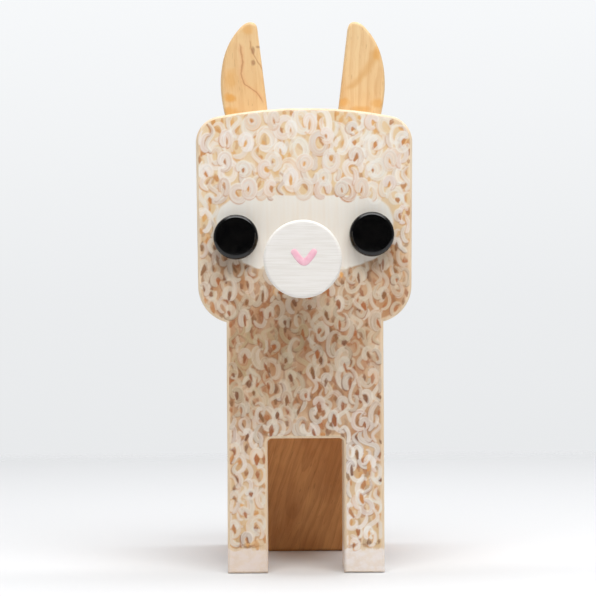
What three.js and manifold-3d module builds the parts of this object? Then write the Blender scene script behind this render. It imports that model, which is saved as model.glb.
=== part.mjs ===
// Eyeglasses stand in the shape of an alpaca, built from flat boards and dowels.
// Units are millimetres. In the finished part +Z is up, the face looks along -Y, and the origin is on the
// floor, under the middle of the part's overall width and depth.
//
// The pieces are laid out in a working frame, as a maker would look at the stand from the front:
// x to the right, y up from the floor, z towards the viewer. One turned group at the end stands it up.
import * as THREE from "three";
import { mergeVertices } from "three/addons/utils/BufferGeometryUtils.js";
import Module from "manifold-3d";

const wasm = await Module();
wasm.setup();

// ---- boards ----
const BOARD = 19.05; // thickness of the front and rear boards, a 3/4 in plank
const BLOCK = 31.75; // depth of the block between the boards
const BODY_W = 41.6;
const LEG_W = 10.75;
const LEG_H = 35.6;
const HEAD_TOP_W = 57.4;
const HEAD_LOW_W = 56.6;
const HEAD_LOW = 66.1; // height of the head's lower edge above the floor
const HEAD_TOP = 123.1; // height of the crown's highest point
const CROWN_DROP = 2.2; // how far the crown falls from its middle to its round corners
const CROWN_SLOPE = 0.2; // how steeply it meets them, in radians
const TOP_CORNER_R = 7;
const LOW_CORNER_R = 10;
const ARCH_CORNER_R = 1.2; // inner corners of the gap between the front legs
const REAR_H = 64;
const REAR_CORNER_R = 8;
const ROUNDOVER = 0.9; // sanded edge round the boards
const BLOCK_ROUND = 0.3; // the block's edges are only broken where it meets the boards

// ---- ears ----
const EAR_T = 6.35;
const EAR_FOOT = 108; // the ear's glued tongue reaches down behind the head to this height
const EAR_TIP = 148.3;
const EAR_INNER_X = 7.7; // where the straight inner edge starts at the foot
const EAR_TILT = 0.12; // how far that edge runs outwards per unit of height
const EAR_OUTER_X = 17.4; // outer end of the foot
const EAR_BELLY = { x: 22.5, y: 131.5 }; // widest point of the outer curve
const EAR_TIP_X = 14.3; // highest point of the round tip

// ---- eyes ----
const EYE_R = 5.9;
const EYE_PROUD = 4.8;
const EYE_WALL = 1.9; // straight side of the eye
const EYE_SHOULDER = 1.1; // round between that side and the dome
const EYE_STEM_R = 3;
const EYE_STEM_L = 9;
const EYES = [
  { name: "eye_left", x: -18.15, y: 88.9 },
  { name: "eye_right", x: 17.65, y: 89.5 },
];

// ---- nose ----
const NOSE = { x: -0.8, y: 82.8 };
const NOSE_R = 10.1;
const NOSE_T = 6.35;
const NOSE_EDGE_R = 0.8;
const PEG_R = 4.76; // 3/8 in dowel
const PEG_SHOWN = 12.7; // gap between the face and the nose, where a bridge rests
const PEG_IN_HEAD = 13;
const PEG_IN_NOSE = 4;

// ---- hidden joints ----
const DOWEL_R = 4;
const DOWEL_L = 26;
const DOWEL_IN_BOARD = 12;
const DOWEL_IN_BLOCK = DOWEL_L - DOWEL_IN_BOARD;
const DOWEL_X = 12;
const DOWEL_Y = (LEG_H + REAR_H) / 2;
const DOWEL_FLUTES = 12;
const FLUTE_DEPTH = 0.3;
const PIN_R = 2;
const PIN_L = 13;
const PIN_IN_EAR = 4.5;
const PIN_X = 14.2;
const PIN_Y = 115;
const CHAMFER = 0.6; // on the ends of dowels, pins and stems
const CLEARANCE = 0.2; // radial glue clearance of every dowel, pin and stem
const END_GAP = 0.8; // room left past a dowel's end for glue
const SOCKET_GAP = 0.3; // the same in the nose's shallow socket
const OVERSHOOT = 5; // a drill's tool starts this far outside the wood

// ---- fineness of the round shapes ----
const CURVE_STEPS = 8;
const ROUND_STEPS = 3;
const DOME_STEPS = 6;
const TURNED_SIDES = 32;
const NOSE_SIDES = 56;

// ---- places along the depth, from the viewer's side to the back ----
const DEPTH = PEG_SHOWN + NOSE_T + BOARD + BLOCK + BOARD;
const NOSE_BACK = DEPTH / 2 - NOSE_T;
const FACE = NOSE_BACK - PEG_SHOWN;
const HEAD_BACK = FACE - BOARD;
const REAR_FRONT = HEAD_BACK - BLOCK;
const REAR_BACK = REAR_FRONT - BOARD;

const SIDES = [
  { word: "left", side: -1 },
  { word: "right", side: 1 },
];

// ---- materials ----
const material = (color, roughness) => new THREE.MeshStandardMaterial({ color, roughness, metalness: 0 });
const PAINTED_WOOD = material(0xd9c3a6, 0.6);
const NATURAL_WOOD = material(0xdcae74, 0.5);
const EAR_WOOD = material(0xedc694, 0.5);
const DOWEL_WOOD = material(0xe3c896, 0.7);
const WHITE_PAINT = material(0xeeece6, 0.55);
const BLACK_GLOSS = material(0x0b0b0c, 0.12);

// ---- solids ----
// A closed geometry as a manifold-3d solid.
function solidOf(geometry) {
  const bare = geometry.index ? geometry.toNonIndexed() : geometry.clone();
  bare.deleteAttribute("normal");
  bare.deleteAttribute("uv");
  const merged = mergeVertices(bare, 1e-4);
  return new wasm.Manifold(
    new wasm.Mesh({
      numProp: 3,
      vertProperties: merged.attributes.position.array,
      triVerts: new Uint32Array(merged.index.array),
    }),
  );
}

// A manifold-3d solid as a geometry with flat faces.
function geometryOf(solid) {
  const mesh = solid.getMesh();
  const geometry = new THREE.BufferGeometry();
  geometry.setAttribute("position", new THREE.BufferAttribute(mesh.vertProperties, 3));
  geometry.setIndex(new THREE.BufferAttribute(mesh.triVerts, 1));
  const flat = geometry.toNonIndexed();
  flat.computeVertexNormals();
  return flat;
}

// A geometry with the tools' geometries cut out of it.
function cut(geometry, tools) {
  return geometryOf(tools.reduce((solid, tool) => solid.subtract(solidOf(tool)), solidOf(geometry)));
}

// A plank of the given outline, from z = back to z = front, with its edges sanded round.
function plank(shape, back, front, round = ROUNDOVER) {
  return new THREE.ExtrudeGeometry(shape, {
    depth: front - back - 2 * round,
    bevelThickness: round,
    bevelSize: round,
    bevelOffset: -round,
    bevelSegments: ROUND_STEPS,
  }).translate(0, 0, back + round);
}

// The tool for a blind hole that runs along z from the wood's surface. A positive reach goes towards
// the viewer and a negative one away; clearance and glue room are added to the dowel's own size.
function drill(x, y, surface, reach, radius) {
  const way = Math.sign(reach);
  const start = surface - way * OVERSHOOT;
  const end = surface + reach + way * END_GAP;
  const holeR = radius + CLEARANCE;
  return new THREE.CylinderGeometry(holeR, holeR, Math.abs(end - start), TURNED_SIDES)
    .rotateX(Math.PI / 2)
    .translate(x, y, (start + end) / 2);
}

// A turned piece along z, from its profile of [radius, z] points that starts and ends on the axis.
function turned(profile, sides = TURNED_SIDES) {
  const points = profile.map(([radius, z]) => new THREE.Vector2(radius, z));
  return new THREE.LatheGeometry(points, sides).rotateX(Math.PI / 2);
}

// Points of a quarter round that starts at the given angle, for a turned profile.
function quarterRound(centreR, centreZ, radius, fromAngle) {
  return Array.from({ length: ROUND_STEPS + 1 }, (_, i) => {
    const angle = fromAngle + ((Math.PI / 2) * i) / ROUND_STEPS;
    return [centreR + radius * Math.cos(angle), centreZ + radius * Math.sin(angle)];
  });
}

// A plain dowel on the z axis from z = 0 to z = length, with chamfered ends.
function dowel(radius, length) {
  return turned([
    [0, 0],
    [radius - CHAMFER, 0],
    [radius, CHAMFER],
    [radius, length - CHAMFER],
    [radius - CHAMFER, length],
    [0, length],
  ]);
}

// A joining dowel from z = 0 to z = its length: straight flutes let the glue out.
function flutedDowel() {
  const shape = new THREE.Shape(
    Array.from({ length: DOWEL_FLUTES * 2 }, (_, i) => {
      const angle = (i / DOWEL_FLUTES) * Math.PI;
      const r = i % 2 === 0 ? DOWEL_R - FLUTE_DEPTH : DOWEL_R;
      return new THREE.Vector2(r * Math.cos(angle), r * Math.sin(angle));
    }),
  );
  return new THREE.ExtrudeGeometry(shape, {
    depth: DOWEL_L - 2 * CHAMFER,
    bevelThickness: CHAMFER,
    bevelSize: CHAMFER,
    bevelOffset: -CHAMFER,
    bevelSegments: 1,
  }).translate(0, 0, CHAMFER);
}

// ---- outlines ----
// A closed outline from its right half, drawn from the bottom middle to the top middle.
function mirrored(half) {
  const right = half.getPoints(CURVE_STEPS);
  const left = right
    .slice(1, -1)
    .map(({ x, y }) => new THREE.Vector2(-x, y))
    .reverse();
  return new THREE.Shape([...right, ...left]);
}

// Head, neck and front legs, cut from one plank.
function frontOutline() {
  const body = BODY_W / 2;
  const inner = body - LEG_W;
  const half = new THREE.Path();
  half.moveTo(0, LEG_H);
  half.lineTo(inner - ARCH_CORNER_R, LEG_H);
  half.absarc(inner - ARCH_CORNER_R, LEG_H - ARCH_CORNER_R, ARCH_CORNER_R, Math.PI / 2, 0, true);
  half.lineTo(inner, 0);
  half.lineTo(body, 0);

  // The head's lower corner is round, and the neck's straight side runs up into it.
  const jawX = HEAD_LOW_W / 2 - LOW_CORNER_R;
  const jawY = HEAD_LOW + LOW_CORNER_R;
  const neckAngle = -Math.acos((body - jawX) / LOW_CORNER_R);
  half.absarc(jawX, jawY, LOW_CORNER_R, neckAngle, 0, false);

  // The crown's corner is an arc that turns into the slow curve over the top.
  const cornerX = HEAD_TOP_W / 2 - TOP_CORNER_R;
  const crownEdge = HEAD_TOP - CROWN_DROP;
  const cornerY = crownEdge - TOP_CORNER_R * Math.cos(CROWN_SLOPE);
  half.absarc(cornerX, cornerY, TOP_CORNER_R, 0, Math.PI / 2 - CROWN_SLOPE, false);
  const tangentX = cornerX + TOP_CORNER_R * Math.sin(CROWN_SLOPE) - CROWN_DROP / Math.tan(CROWN_SLOPE);
  half.quadraticCurveTo(tangentX, HEAD_TOP, 0, HEAD_TOP);
  return mirrored(half);
}

// The rear board, and the block that shares its round top but stops short of the floor.
function rearOutline(low) {
  const side = BODY_W / 2;
  const half = new THREE.Path();
  half.moveTo(0, low);
  half.lineTo(side, low);
  half.absarc(side - REAR_CORNER_R, REAR_H - REAR_CORNER_R, REAR_CORNER_R, 0, Math.PI / 2, false);
  half.lineTo(0, REAR_H);
  return mirrored(half);
}

// An ear: straight on the inner side, a long curve outside, and a round tip.
function earOutline(side) {
  const innerX = (y) => EAR_INNER_X + EAR_TILT * (y - EAR_FOOT);
  const right = new THREE.Path();
  right.moveTo(EAR_INNER_X, EAR_FOOT);
  right.lineTo(EAR_OUTER_X, EAR_FOOT);
  right.bezierCurveTo(19.6, EAR_FOOT + 8, EAR_BELLY.x, EAR_BELLY.y - 7, EAR_BELLY.x, EAR_BELLY.y);
  right.bezierCurveTo(EAR_BELLY.x, EAR_BELLY.y + 6.5, 20.7, EAR_TIP - 5.6, 17.7, EAR_TIP - 2.2);
  right.quadraticCurveTo(15.9, EAR_TIP, EAR_TIP_X, EAR_TIP);
  right.quadraticCurveTo(innerX(EAR_TIP), EAR_TIP, innerX(EAR_TIP - 2), EAR_TIP - 2);
  return new THREE.Shape(right.getPoints(CURVE_STEPS).map(({ x, y }) => new THREE.Vector2(side * x, y)));
}

// ---- pieces ----
function frontBoard() {
  const holes = [
    drill(NOSE.x, NOSE.y, FACE, -PEG_IN_HEAD, PEG_R),
    ...EYES.map(({ x, y }) => drill(x, y, FACE, -EYE_STEM_L, EYE_STEM_R)),
    ...SIDES.map(({ side }) => drill(side * DOWEL_X, DOWEL_Y, HEAD_BACK, DOWEL_IN_BOARD, DOWEL_R)),
    ...SIDES.map(({ side }) => drill(side * PIN_X, PIN_Y, HEAD_BACK, PIN_L - PIN_IN_EAR, PIN_R)),
  ];
  return cut(plank(frontOutline(), HEAD_BACK, FACE), holes);
}

function bodyBlock() {
  const holes = SIDES.flatMap(({ side }) => [
    drill(side * DOWEL_X, DOWEL_Y, HEAD_BACK, -DOWEL_IN_BLOCK, DOWEL_R),
    drill(side * DOWEL_X, DOWEL_Y, REAR_FRONT, DOWEL_IN_BLOCK, DOWEL_R),
  ]);
  return cut(plank(rearOutline(LEG_H), REAR_FRONT, HEAD_BACK, BLOCK_ROUND), holes);
}

function rearBoard() {
  const holes = SIDES.map(({ side }) => drill(side * DOWEL_X, DOWEL_Y, REAR_FRONT, -DOWEL_IN_BOARD, DOWEL_R));
  return cut(plank(rearOutline(0), REAR_BACK, REAR_FRONT), holes);
}

function ear(side) {
  const hole = drill(side * PIN_X, PIN_Y, HEAD_BACK, -PIN_IN_EAR, PIN_R);
  return cut(plank(earOutline(side), HEAD_BACK - EAR_T, HEAD_BACK), [hole]);
}

// A domed button on a stem that goes into the head. z = 0 is the head's face.
function eye() {
  const domeR = EYE_R - EYE_SHOULDER / 2;
  const domeBase = EYE_WALL + EYE_SHOULDER;
  const dome = Array.from({ length: DOME_STEPS }, (_, i) => {
    const r = 1 - (i + 1) / DOME_STEPS;
    return [domeR * r, EYE_PROUD - (EYE_PROUD - domeBase) * r ** 2];
  });
  return turned([
    [0, -EYE_STEM_L],
    [EYE_STEM_R - CHAMFER, -EYE_STEM_L],
    [EYE_STEM_R, -EYE_STEM_L + CHAMFER],
    [EYE_STEM_R, 0],
    [EYE_R, 0],
    [EYE_R, EYE_WALL],
    [domeR, domeBase],
    ...dome,
  ]);
}

// The nose: a flat round with a blind socket for its peg at the back. z = 0 is its back face.
function noseDisc() {
  const edge = NOSE_R - NOSE_EDGE_R;
  const socketR = PEG_R + CLEARANCE;
  const socketEnd = PEG_IN_NOSE + SOCKET_GAP;
  const profile = [
    [0, socketEnd],
    [socketR, socketEnd],
    [socketR, 0],
    ...quarterRound(edge, NOSE_EDGE_R, NOSE_EDGE_R, -Math.PI / 2),
    ...quarterRound(edge, NOSE_T - NOSE_EDGE_R, NOSE_EDGE_R, 0),
    [0, NOSE_T],
  ];
  return turned(profile, NOSE_SIDES);
}

// ---- assembly ----
const stand = new THREE.Group();
stand.rotation.x = Math.PI / 2;

function add(name, geometry, finish, x = 0, y = 0, z = 0) {
  const mesh = new THREE.Mesh(geometry, finish);
  mesh.name = name;
  mesh.position.set(x, y, z);
  stand.add(mesh);
}

add("front_board", frontBoard(), PAINTED_WOOD);
add("body_block", bodyBlock(), NATURAL_WOOD);
add("rear_board", rearBoard(), NATURAL_WOOD);

for (const { word, side } of SIDES) {
  const dowelX = side * DOWEL_X;
  add(`front_dowel_${word}`, flutedDowel(), DOWEL_WOOD, dowelX, DOWEL_Y, HEAD_BACK - DOWEL_IN_BLOCK);
  add(`rear_dowel_${word}`, flutedDowel(), DOWEL_WOOD, dowelX, DOWEL_Y, REAR_FRONT - DOWEL_IN_BOARD);
  add(`ear_${word}`, ear(side), EAR_WOOD);
  add(`ear_pin_${word}`, dowel(PIN_R, PIN_L), DOWEL_WOOD, side * PIN_X, PIN_Y, HEAD_BACK - PIN_IN_EAR);
}

for (const { name, x, y } of EYES) add(name, eye(), BLACK_GLOSS, x, y, FACE);

const pegLength = PEG_IN_HEAD + PEG_SHOWN + PEG_IN_NOSE;
add("nose_peg", dowel(PEG_R, pegLength), DOWEL_WOOD, NOSE.x, NOSE.y, FACE - PEG_IN_HEAD);
add("nose_disc", noseDisc(), WHITE_PAINT, NOSE.x, NOSE.y, NOSE_BACK);

export default stand;
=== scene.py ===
# The looks of an alpaca-shaped eyeglasses stand: a painted front board with head, neck and legs, a block and
# a rear board behind it, two ears, two button eyes, and a nose on a peg.
#
# Everything is in metres, in the CAD model's frame: +Z is up and the face looks along -Y. Each visible piece
# is made again here with fine edges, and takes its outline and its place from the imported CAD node.
import math

import bmesh
import bpy
import numpy as np
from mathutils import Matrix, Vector, noise


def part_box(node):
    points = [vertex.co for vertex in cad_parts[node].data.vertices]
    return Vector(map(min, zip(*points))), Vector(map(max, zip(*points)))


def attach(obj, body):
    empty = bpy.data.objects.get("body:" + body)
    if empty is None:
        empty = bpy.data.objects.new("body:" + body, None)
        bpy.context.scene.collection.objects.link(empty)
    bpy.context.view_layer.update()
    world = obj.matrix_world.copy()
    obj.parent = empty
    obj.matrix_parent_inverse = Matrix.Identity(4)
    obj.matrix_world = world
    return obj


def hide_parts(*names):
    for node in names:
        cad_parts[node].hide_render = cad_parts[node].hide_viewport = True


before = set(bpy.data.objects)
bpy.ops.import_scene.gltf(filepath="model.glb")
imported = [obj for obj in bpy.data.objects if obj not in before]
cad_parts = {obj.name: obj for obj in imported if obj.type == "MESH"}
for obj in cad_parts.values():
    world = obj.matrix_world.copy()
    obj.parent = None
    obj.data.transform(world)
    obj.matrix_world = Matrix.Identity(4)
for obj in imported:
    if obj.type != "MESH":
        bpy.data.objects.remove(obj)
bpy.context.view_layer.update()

MM = 0.001
BODY = "root"


# ---------------------------------------------------------------- colours
def linear(level):
    """One 0 to 255 level of a screen colour, as linear light."""
    return level / 255 / 12.92 if level <= 10 else ((level / 255 + 0.055) / 1.055) ** 2.4


def srgb(red, green, blue):
    """A screen colour, as linear light."""
    return linear(red), linear(green), linear(blue)


# ---------------------------------------------------------------- outlines
def outline_of(node):
    """The outer outline of a CAD node at half its depth, as (x, z) points that go round anticlockwise."""
    low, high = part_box(node)
    solid = bmesh.new()
    solid.from_mesh(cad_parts[node].data)
    bmesh.ops.remove_doubles(solid, verts=solid.verts[:], dist=0.001 * MM)
    whole = solid.verts[:] + solid.edges[:] + solid.faces[:]
    middle = (0, (low.y + high.y) / 2, 0)
    bmesh.ops.bisect_plane(
        solid, geom=whole, plane_co=middle, plane_no=(0, 1, 0), clear_inner=True, clear_outer=True
    )
    loops = []
    unseen = set(solid.verts)
    while unseen:
        vert = unseen.pop()
        loop = [vert]
        while True:
            onward = [e.other_vert(loop[-1]) for e in loop[-1].link_edges if e.other_vert(loop[-1]) in unseen]
            if not onward:
                break
            unseen.discard(onward[0])
            loop.append(onward[0])
        loops.append(np.array([(v.co.x, v.co.z) for v in loop]))
    solid.free()
    outer = max(loops, key=lambda loop: abs(signed_area(loop)))
    if signed_area(outer) < 0:
        outer = outer[::-1]
    return without_flat_points(outer)


def signed_area(points):
    x, z = points.T
    return (x * np.roll(z, -1) - np.roll(x, -1) * z).sum() / 2


def turning(points):
    """The angle that a closed outline turns through at each point."""
    before = points - np.roll(points, 1, axis=0)
    after = np.roll(points, -1, axis=0) - points
    cross = before[:, 0] * after[:, 1] - before[:, 1] * after[:, 0]
    return np.arctan2(cross, (before * after).sum(axis=1))


def without_flat_points(points):
    """The outline without the points that lie on its straight stretches."""
    return points[np.abs(turning(points)) > math.radians(0.5)]


SHARP = math.radians(30)  # a turn that stays a corner


def smoothed(points, step):
    """The outline with its short facets turned into curves, and a point every step. Sharp corners stay."""
    corner = np.abs(turning(points)) > SHARP
    chord = np.roll(points, -1, axis=0) - np.roll(points, 1, axis=0)
    tangent = chord / np.linalg.norm(chord, axis=1)[:, None]
    fine = []
    for i, start in enumerate(points):
        j = (i + 1) % len(points)
        edge = points[j] - start
        length = np.linalg.norm(edge)
        leave = edge if corner[i] else tangent[i] * length
        arrive = edge if corner[j] else tangent[j] * length
        count = max(1, math.ceil(length / step))
        for t in np.arange(count) / count:
            fine.append(
                start * (2 * t**3 - 3 * t**2 + 1)
                + leave * (t**3 - 2 * t**2 + t)
                + points[j] * (3 * t**2 - 2 * t**3)
                + arrive * (t**3 - t**2)
            )
    return np.array(fine)


def inset(points, distance):
    """The outline moved inwards; distance is one number or one for each point."""
    before = points - np.roll(points, 1, axis=0)
    after = np.roll(points, -1, axis=0) - points
    before /= np.linalg.norm(before, axis=1)[:, None]
    after /= np.linalg.norm(after, axis=1)[:, None]
    along = before + after
    along /= np.linalg.norm(along, axis=1)[:, None]
    inward = np.stack([-along[:, 1], along[:, 0]], axis=1)
    mitre = 1 / np.maximum((along * after).sum(axis=1), 0.5)
    return points + inward * (mitre * distance)[:, None]


def shrunk(points, distance):
    """The outline moved inwards; the points that would pass a sharp corner's own new place stop there."""
    ring = inset(points, distance)
    turn = turning(points)
    reach = distance * np.tan(turn / 2)
    for corner in np.flatnonzero(turn > SHARP):
        for way in (1, -1):
            near = (corner + way) % len(points)
            while np.linalg.norm(points[near] - points[corner]) < reach[corner]:
                ring[near] = ring[corner]
                near = (near + way) % len(points)
    return ring


def distance_inside(points, x, z):
    """How far each (x, z) lies inside a closed outline, negative outside, and the outline's nearest point."""
    end = np.roll(points, -1, axis=0)
    best = np.full(x.shape, np.inf)
    near_x, near_z = np.zeros(x.shape), np.zeros(x.shape)
    inside = np.zeros(x.shape, bool)
    for (ax, az), (bx, bz) in zip(points, end):
        dx, dz = bx - ax, bz - az
        t = np.clip(((x - ax) * dx + (z - az) * dz) / (dx * dx + dz * dz), 0, 1)
        qx, qz = ax + t * dx, az + t * dz
        gap = (x - qx) ** 2 + (z - qz) ** 2
        closer = gap < best
        best = np.where(closer, gap, best)
        near_x, near_z = np.where(closer, qx, near_x), np.where(closer, qz, near_z)
        if az != bz:
            crosses = (az > z) != (bz > z)
            inside ^= crosses & (x < ax + (z - az) * dx / dz)
    return np.where(inside, 1, -1) * np.sqrt(best), near_x, near_z


# ---------------------------------------------------------------- meshes
def in_scene(name, data):
    """A new object in the scene."""
    obj = bpy.data.objects.new(name, data)
    bpy.context.scene.collection.objects.link(obj)
    return obj


def piece(name, verts, faces, material, replaces=()):
    """A smooth mesh object that rides on the stand."""
    mesh = bpy.data.meshes.new(name)
    mesh.from_pydata([tuple(v) for v in verts], [], faces)
    mesh.validate()
    mesh.polygons.foreach_set("use_smooth", [True] * len(mesh.polygons))
    mesh.materials.append(material)
    obj = in_scene(name, mesh)
    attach(obj, BODY)
    if replaces:
        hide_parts(*replaces)
    return obj


def round_node(node):
    """Where a round CAD node starts and ends along y, its centre as (x, z), and its radius."""
    low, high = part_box(node)
    return low.y, high.y, ((low.x + high.x) / 2, (low.z + high.z) / 2), (high.x - low.x) / 2


def paint_layer(mesh, values):
    """Stores each vertex's paint colour and cover for the painted wood."""
    layer = mesh.color_attributes.new("paint", "FLOAT_COLOR", "POINT")
    layer.data.foreach_set("color", np.asarray(values, np.float32).ravel())


def strips(first, second, count):
    """The faces between two closed rings of the same number of points, given by their first indices."""
    return [(first + i, first + (i + 1) % count, second + (i + 1) % count, second + i) for i in range(count)]


def plank(name, node, material, edge=0.9 * MM, step=0.8 * MM):
    """A sawn board with the CAD node's outline, a little uneven as hand sanding leaves it. edge is the radius
    of its edges, and step the spacing of its outline's points."""
    low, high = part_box(node)
    line = smoothed(outline_of(node), step)
    seed = sum(ord(c) for c in node)
    wave, wander = 9 * MM, 0.05 * MM
    rough = np.array([noise.noise(Vector((x / wave, z / wave, seed))) for x, z in line])
    line = inset(line, wander * (1 + rough))
    radius = edge * (1 + 0.14 * np.roll(rough, 11))
    arc = [(1 - math.sin(a), 1 - math.cos(a)) for a in np.linspace(0, math.pi / 2, 7)]
    profile = [(1.5, 0), *arc]
    rings = [(into, low.y, across) for into, across in profile]
    rings += [(into, high.y, -across) for into, across in reversed(profile)]
    verts = []
    for into, depth, across in rings:
        ring = shrunk(line, radius * into)
        verts += [(x, depth + r * across, z) for (x, z), r in zip(ring, radius)]
    count = len(line)
    faces = []
    for k in range(len(rings) - 1):
        faces += strips(k * count, (k + 1) * count, count)
    faces.append(tuple(range(count))[::-1])
    last = (len(rings) - 1) * count
    faces.append(tuple(range(last, last + count)))
    obj = piece(name, verts, faces, material, [node])
    tidy_solid(obj.data)
    return obj


def tidy_solid(mesh):
    """Joins a closed mesh's double points, turns its faces outwards and splits its large flat ends."""
    solid = bmesh.new()
    solid.from_mesh(mesh)
    bmesh.ops.remove_doubles(solid, verts=solid.verts[:], dist=0.001 * MM)
    bmesh.ops.recalc_face_normals(solid, faces=solid.faces[:])
    large = [f for f in solid.faces if len(f.verts) > 4]
    bmesh.ops.triangulate(solid, faces=large)
    solid.to_mesh(mesh)
    solid.free()


def turned(name, profile, centre, material, replaces, sides=96, shape=None):
    """A piece turned about an axis along Y. profile has (radius, y) points from axis to axis, and shape may
    move a finished point."""
    verts, faces, rings = [], [], []
    for radius, y in profile:
        if radius < 1e-9:
            rings.append([len(verts)])
            verts.append((centre[0], y, centre[1]))
            continue
        rings.append(list(range(len(verts), len(verts) + sides)))
        for i in range(sides):
            angle = 2 * math.pi * i / sides
            verts.append((centre[0] + radius * math.cos(angle), y, centre[1] + radius * math.sin(angle)))
    for one, two in zip(rings, rings[1:]):
        for i in range(sides):
            j = (i + 1) % sides
            quad = [one[i % len(one)], one[j % len(one)], two[j % len(two)], two[i % len(two)]]
            faces.append(tuple(dict.fromkeys(quad)))
    if shape:
        verts = [shape(Vector(v)) for v in verts]
    tidy_solid(piece(name, verts, faces, material, replaces).data)


# ---------------------------------------------------------------- materials
class Nodes:
    """A new material (or world) and short ways to add nodes to it."""

    def __init__(self, name, kind="materials", shader="Principled BSDF"):
        self.owner = getattr(bpy.data, kind).new(name)
        self.owner.use_nodes = True
        self.tree = self.owner.node_tree
        self.shader = self.tree.nodes[shader]

    def add(self, kind, inputs=None, out=0, **settings):
        """Adds a node with its settings and inputs and returns an output. A socket as an input is linked."""
        node = self.tree.nodes.new(kind)
        for key, value in settings.items():
            setattr(node, key, value)
        for key, value in (inputs or {}).items():
            self.give(node.inputs[key], value)
        return node.outputs[out]

    def give(self, socket, value):
        if isinstance(value, bpy.types.NodeSocket):
            self.tree.links.new(value, socket)
        else:
            socket.default_value = value

    def set(self, **values):
        for key, value in values.items():
            self.give(self.shader.inputs[key.replace("_", " ")], value)

    def millimetres(self, turn=(0, 0, 0)):
        """The piece's own coordinates in millimetres, turned so that local z runs along the grain."""
        place = self.add("ShaderNodeTexCoord", out="Object")
        scaled = self.vector("MULTIPLY", place, (1000, 1000, 1000))
        return self.add("ShaderNodeMapping", {"Vector": scaled, "Rotation": turn})

    def noise(self, place, scale, detail=2.0, rough=0.5, distortion=0.0, out="Fac"):
        """Noise with its own scale along each axis, in cycles per millimetre."""
        at = self.vector("MULTIPLY", place, scale)
        inputs = {"Vector": at, "Scale": 1.0, "Detail": detail, "Roughness": rough, "Distortion": distortion}
        return self.add("ShaderNodeTexNoise", inputs, out=out)

    def axis(self, place, name):
        return self.add("ShaderNodeSeparateXYZ", {0: place}, out=name)

    def vector(self, operation, one, two=(0, 0, 0), out=0):
        return self.add("ShaderNodeVectorMath", {0: one, 1: two}, out=out, operation=operation)

    def math(self, operation, one, two=0.0, clamp=False):
        return self.add("ShaderNodeMath", {0: one, 1: two}, operation=operation, use_clamp=clamp)

    def range(self, value, low, high, to_low=0.0, to_high=1.0):
        inputs = {"Value": value, "From Min": low, "From Max": high, "To Min": to_low, "To Max": to_high}
        return self.add("ShaderNodeMapRange", inputs, interpolation_type="SMOOTHSTEP")

    def mix(self, factor, one, two):
        """Two colours mixed; the factor is how much of the second there is."""
        one, two = [(*c, 1) if isinstance(c, tuple) else c for c in (one, two)]
        return self.add("ShaderNodeMix", {0: factor, 6: one, 7: two}, out=2, data_type="RGBA")

    def bump(self, height, strength, distance_mm):
        inputs = {"Height": height, "Strength": strength, "Distance": distance_mm * MM}
        return self.add("ShaderNodeBump", inputs)

    def blot(self, colour, cover, strength, tint):
        """The colour with some of a tint over it where cover says."""
        return self.mix(self.math("MULTIPLY", cover, strength), colour, tint)


def wood_nodes(
    m, pale, deep, streak, turn=(0, 0, 0), heart=(0, 0, 0), stretch=9.0, ring_mm=3.0, figure=0.35, flecks=0.3
):
    """Colour and relief of a planed hardwood. The growth rings are long shells about heart, and stretch is
    their length along the grain over their width. Fibres, flecks and slow changes of tone lie over them.
    Returns (place, colour, height, fibre)."""
    place = m.millimetres(turn)
    warp = m.noise(place, (0.05, 0.05, 0.02), detail=3, out="Color")
    pushed = m.vector("MULTIPLY", warp, (9, 9, 0))
    bent = m.vector("ADD", place, pushed)
    centred = m.vector("SUBTRACT", bent, heart)
    squeezed = m.vector("MULTIPLY", centred, (1, 1, 1 / stretch))
    per_mm = 2 * math.pi / 20 / ring_mm
    inputs = {"Vector": squeezed, "Scale": per_mm, "Distortion": 0.9, "Detail": 3, "Detail Scale": 1.4}
    look = {"wave_type": "RINGS", "rings_direction": "SPHERICAL", "wave_profile": "SAW"}
    rings = m.add("ShaderNodeTexWave", inputs, out="Fac", **look)
    band = m.math("MULTIPLY", m.range(rings, 0.25, 0.93), m.range(rings, 0.93, 1.0, 1.0, 0.0))
    fibre = m.noise(bent, (2.2, 2.2, 0.06), detail=5, rough=0.62)
    hair = m.noise(bent, (6.5, 6.5, 0.2), detail=2, rough=0.5)
    cloud = m.noise(place, (0.12, 0.12, 0.06), detail=3, rough=0.55)
    colour = m.mix(m.range(cloud, 0.3, 0.7), pale, deep)
    colour = m.blot(colour, band, figure, streak)
    colour = m.mix(m.range(fibre, 0.44, 0.78, 0.0, 0.4), colour, streak)
    colour = m.mix(m.range(hair, 0.5, 0.8, 0.0, 0.3), colour, pale)
    dash = m.noise(bent, (2.6, 2.6, 0.4), detail=1, rough=0.4)
    fleck = m.range(dash, 0.68, 0.78)
    colour = m.blot(colour, fleck, flecks, tuple(c * 0.6 for c in streak))
    height = m.math("SUBTRACT", fibre, m.math("MULTIPLY", fleck, 0.6))
    return place, colour, height, fibre


def wood(name, pale, deep, streak, marks=None, **look):
    """A bare wood. marks may add its own streaks and patches to the colour."""
    m = Nodes(name)
    place, colour, height, fibre = wood_nodes(m, pale, deep, streak, **look)
    if marks:
        colour = marks(m, place, colour)
    m.set(Base_Color=colour, Roughness=m.range(fibre, 0.3, 0.75, 0.38, 0.6))
    m.set(Normal=m.bump(height, 0.25, 0.06))
    return m.owner


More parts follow.
